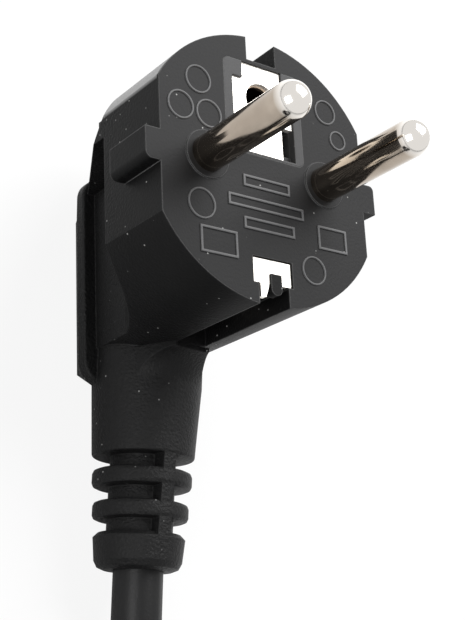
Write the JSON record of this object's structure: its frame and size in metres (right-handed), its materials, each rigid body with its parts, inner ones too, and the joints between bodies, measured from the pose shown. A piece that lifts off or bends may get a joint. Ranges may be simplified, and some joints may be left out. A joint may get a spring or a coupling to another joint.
{
  "type": "mains lead with angled earthed plug and appliance connector",
  "caption": "Black mains lead: angled round earthed plug with steel earth clips and ribbed cord relief, cord folded into a tied hank, and a trapezoid appliance connector",
  "frame": {"origin": "Middle of the flat back of the plug, where it rests on the table, straight below the middle of the two pins; z = 0 is the table", "axes": "+Z is the way the pins point, away from the plug face; -Y is the way the cord leaves the plug; +X is to the right of the face seen from the pins' side with the cord down"},
  "size_m": [0.0787, 0.2815, 0.0582],
  "materials": {
    "black_thermoplastic": "matte, finely grained",
    "carrier_thermoplastic": "satin",
    "nickel_plate": "warm nickel plate, polished",
    "bright_steel": "bright strip",
    "cord_jacket": "satin",
    "tie_plastic": "satin",
    "brown_insulation": "satin",
    "blue_insulation": "satin",
    "green_insulation": "satin",
    "copper": "bare strand",
    "spring_brass": "rolled strip"
  },
  "bodies": {
    "root": {"plug_body": "black_thermoplastic", "contact_carrier": "carrier_thermoplastic", "pin_left": "nickel_plate", "pin_right": "nickel_plate", "earth_strap": "bright_steel", "earth_socket": "bright_steel", "cord_tube": "cord_jacket", "cord_hank": "cord_jacket", "cord_lead": "cord_jacket", "cord_tie": "tie_plastic", "cord_tie_far": "tie_plastic", "connector_body": "black_thermoplastic", "connector_insert": "carrier_thermoplastic", "plug_live_core": "brown_insulation", "plug_live_conductor": "copper", "connector_live_core": "brown_insulation", "connector_live_conductor": "copper", "connector_live_contact": "spring_brass", "plug_neutral_core": "blue_insulation", "plug_neutral_conductor": "copper", "connector_neutral_core": "blue_insulation", "connector_neutral_conductor": "copper", "connector_neutral_contact": "spring_brass", "plug_earth_core": "green_insulation", "plug_earth_conductor": "copper", "connector_earth_core": "green_insulation", "connector_earth_conductor": "copper", "connector_earth_contact": "spring_brass"}
  },
  "joints": []
}
